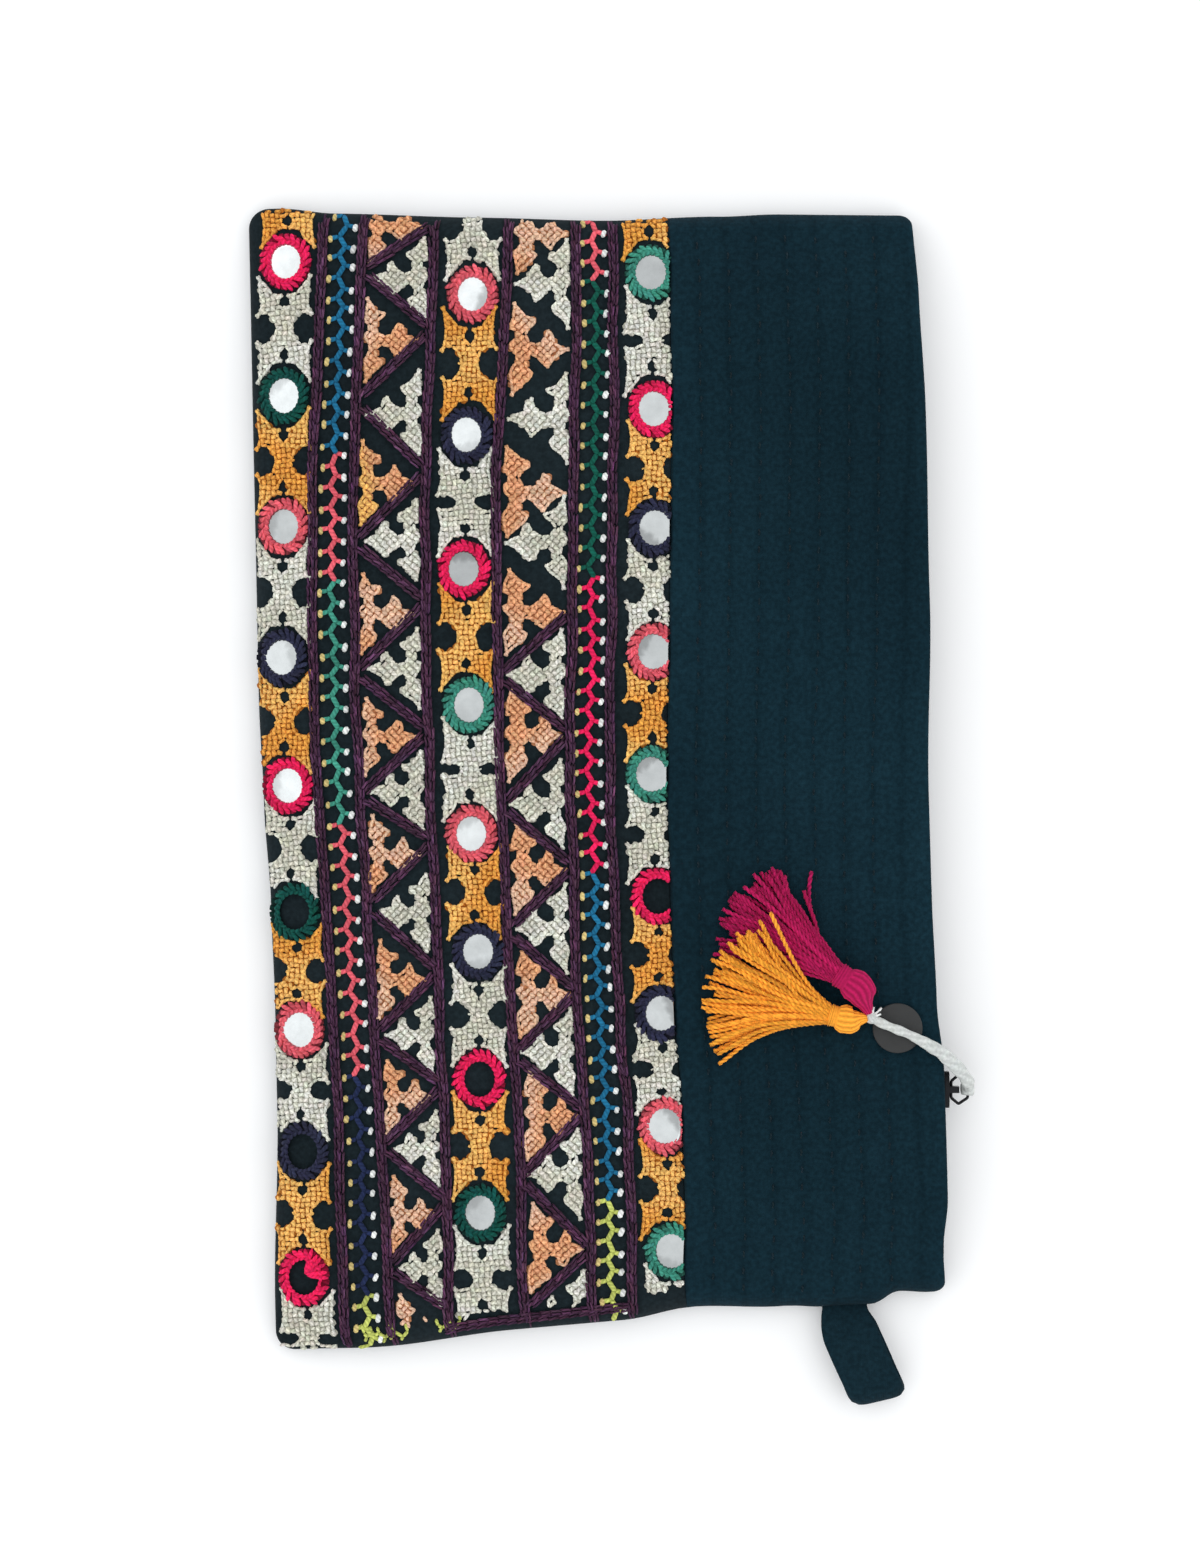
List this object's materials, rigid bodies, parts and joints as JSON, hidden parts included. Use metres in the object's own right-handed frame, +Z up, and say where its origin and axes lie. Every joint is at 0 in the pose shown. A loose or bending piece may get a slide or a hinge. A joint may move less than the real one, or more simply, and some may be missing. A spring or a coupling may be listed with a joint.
{
  "type": "travel pouch",
  "caption": "Flat padded cloth zip pouch with a mirror-work embroidered front panel, a plain quilted band, a corded tassel zip pull and a side hanging loop.",
  "frame": {"origin": "on the table under the middle of the pouch's bounding box, without the pull cord and what is on it", "axes": "+Y along the pouch's length, away from the hanging loop; +X from the bottom fold to the zip edge; +Z up, out of the embroidered front; the pouch lies on its back"},
  "size_m": [0.1819, 0.3008, 0.0229],
  "materials": {
    "embroidered_ground": "matt woven cotton under dense thread embroidery",
    "teal_black_cotton": "matt woven cotton with faint hand quilting",
    "zip_tape": "woven zip tape",
    "mirror_glass": "old hand-cut mirror glass",
    "black_metal": "satin black",
    "dark_disc": "dull",
    "white_cord": "flat braided cotton",
    "magenta_thread": "twisted cotton thread",
    "gold_thread": "twisted cotton thread",
    "crimson_thread": "cotton thread",
    "coral_thread": "cotton thread",
    "green_thread": "cotton thread",
    "teal_thread": "cotton thread",
    "navy_thread": "cotton thread"
  },
  "bodies": {
    "root": {"embroidered_panel": "embroidered_ground", "quilted_band": "teal_black_cotton", "back_panel": "teal_black_cotton", "mirror_ring_left_1": "crimson_thread", "mirror_ring_left_2": "green_thread", "mirror_ring_left_3": "coral_thread", "mirror_ring_left_4": "navy_thread", "mirror_ring_left_5": "crimson_thread", "mirror_ring_left_6": "green_thread", "mirror_ring_left_7": "coral_thread", "mirror_ring_left_8": "navy_thread", "mirror_ring_left_9": "crimson_thread", "mirror_ring_middle_1": "coral_thread", "mirror_ring_middle_2": "navy_thread", "mirror_ring_middle_3": "crimson_thread", "mirror_ring_middle_4": "teal_thread", "mirror_ring_middle_5": "coral_thread", "mirror_ring_middle_6": "navy_thread", "mirror_ring_middle_7": "crimson_thread", "mirror_ring_middle_8": "green_thread", "mirror_ring_right_1": "teal_thread", "mirror_ring_right_2": "crimson_thread", "mirror_ring_right_3": "navy_thread", "mirror_ring_right_4": "coral_thread", "mirror_ring_right_5": "teal_thread", "mirror_ring_right_6": "crimson_thread", "mirror_ring_right_7": "navy_thread", "mirror_ring_right_8": "coral_thread", "mirror_ring_right_9": "teal_thread", "mirror_left_1": "mirror_glass", "mirror_left_2": "mirror_glass", "mirror_left_3": "mirror_glass", "mirror_left_4": "mirror_glass", "mirror_left_5": "mirror_glass", "mirror_left_7": "mirror_glass", "mirror_middle_1": "mirror_glass", "mirror_middle_2": "mirror_glass", "mirror_middle_3": "mirror_glass", "mirror_middle_4": "mirror_glass", "mirror_middle_5": "mirror_glass", "mirror_middle_6": "mirror_glass", "mirror_middle_8": "mirror_glass", "mirror_right_1": "mirror_glass", "mirror_right_2": "mirror_glass", "mirror_right_3": "mirror_glass", "mirror_right_4": "mirror_glass", "mirror_right_5": "mirror_glass", "mirror_right_7": "mirror_glass", "mirror_right_8": "mirror_glass", "mirror_right_9": "mirror_glass", "zip_tape_upper": "zip_tape", "zip_tape_lower": "zip_tape", "zip_slider": "black_metal", "zip_puller": "black_metal", "hanging_loop": "teal_black_cotton", "cord_hitch": "white_cord", "pull_cord": "white_cord", "charm_disc": "dark_disc", "tassel_magenta": "magenta_thread", "tassel_gold": "gold_thread"}
  },
  "joints": []
}
